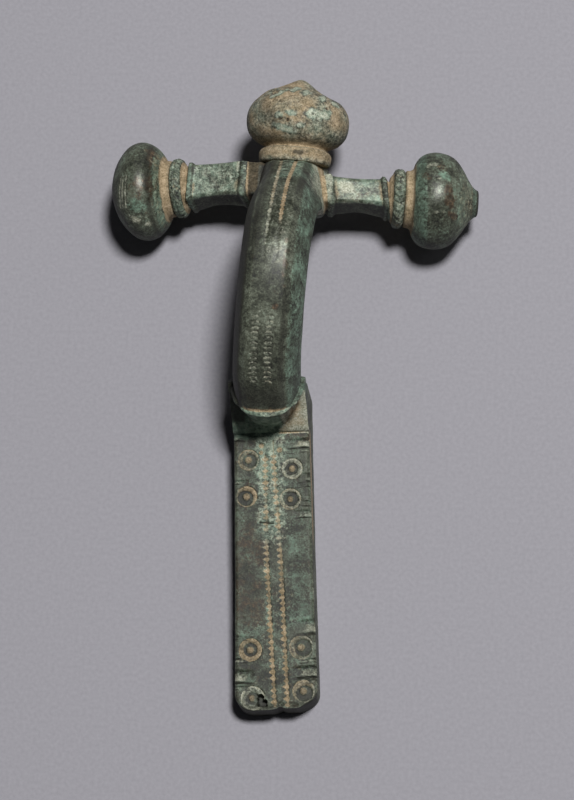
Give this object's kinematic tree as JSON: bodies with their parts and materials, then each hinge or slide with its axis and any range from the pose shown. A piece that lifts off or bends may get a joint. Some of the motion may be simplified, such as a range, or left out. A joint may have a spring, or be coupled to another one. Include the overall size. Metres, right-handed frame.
{
  "type": "fibula brooch",
  "caption": "Crossbow brooch of cast copper alloy with onion-shaped knobs, arched bow, ornamented flat foot and a hinged pin, for fastening a cloak",
  "frame": {"origin": "on the table, under the middle of the whole brooch as it lies on its back", "axes": "+X along the crossbar to the knob with the nipple, +Y from the foot to the head knob, +Z away from the wearer"},
  "size_m": [0.0498, 0.085, 0.0275],
  "materials": {
    "bronze": "green and brown patina, partly worn smooth",
    "pin_bronze": "dark patina"
  },
  "bodies": {
    "brooch": {"body": "bronze", "head_knob": "bronze", "left_knob": "bronze", "right_knob": "bronze", "hinge_rod": "pin_bronze"},
    "pin": {"pin": "pin_bronze"}
  },
  "joints": [
    {"name": "pin_hinge", "type": "hinge", "parent": "brooch", "child": "pin", "pos_m": [-0.00081, 0.02736, 0.0076], "axis": [1, 0, 0], "range_deg": [0, 90]}
  ]
}
